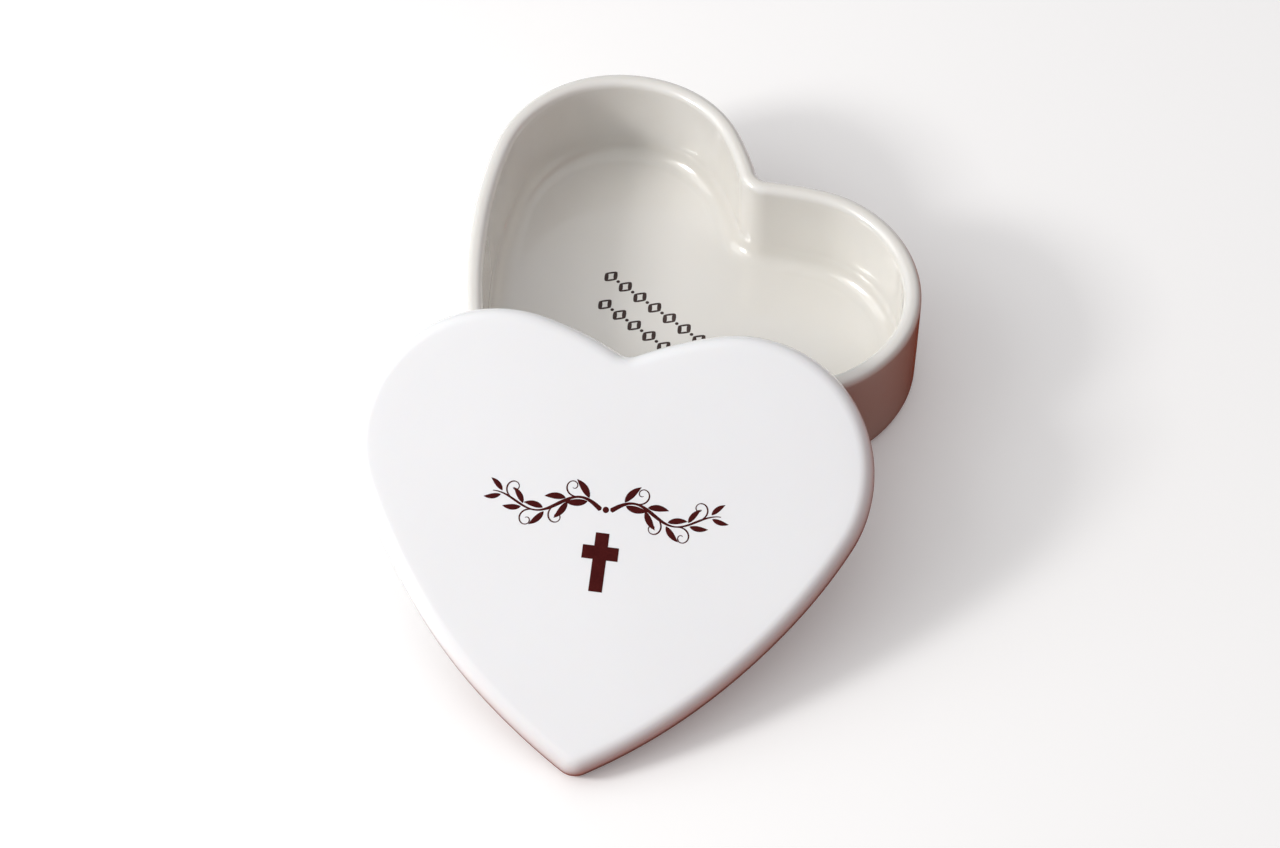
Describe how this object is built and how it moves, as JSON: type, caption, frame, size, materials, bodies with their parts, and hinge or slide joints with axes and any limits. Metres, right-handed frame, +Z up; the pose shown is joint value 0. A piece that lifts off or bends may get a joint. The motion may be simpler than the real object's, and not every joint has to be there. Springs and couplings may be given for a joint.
{
  "type": "heart-shaped keepsake box",
  "caption": "Heart-shaped glazed ceramic keepsake box: an open base with its loose flanged lid leaning on the rim.",
  "frame": {"origin": "middle of the base's flat foot, on the surface the box stands on", "axes": "+Z up; +Y from the base's tip towards its notch; +X to the base's right, the side the lid leans on"},
  "size_m": [0.1581, 0.1669, 0.0502],
  "materials": {
    "body_glaze": "clear gloss glaze over a warm white body",
    "lid_glaze": "clear gloss glaze over a white body",
    "sepia_print": "fired-on dark sepia print",
    "grey_print": "fired-on grey-brown print"
  },
  "bodies": {
    "base": {"base": "body_glaze", "floor_ornament": "grey_print"},
    "lid": {"lid": "lid_glaze", "lid_vine": "sepia_print", "lid_cross": "sepia_print"}
  },
  "joints": [
    {"name": "lid_lift", "type": "slide", "parent": "base", "child": "lid", "axis": [0, 0, 1], "range_m": [0, 0.12]}
  ]
}
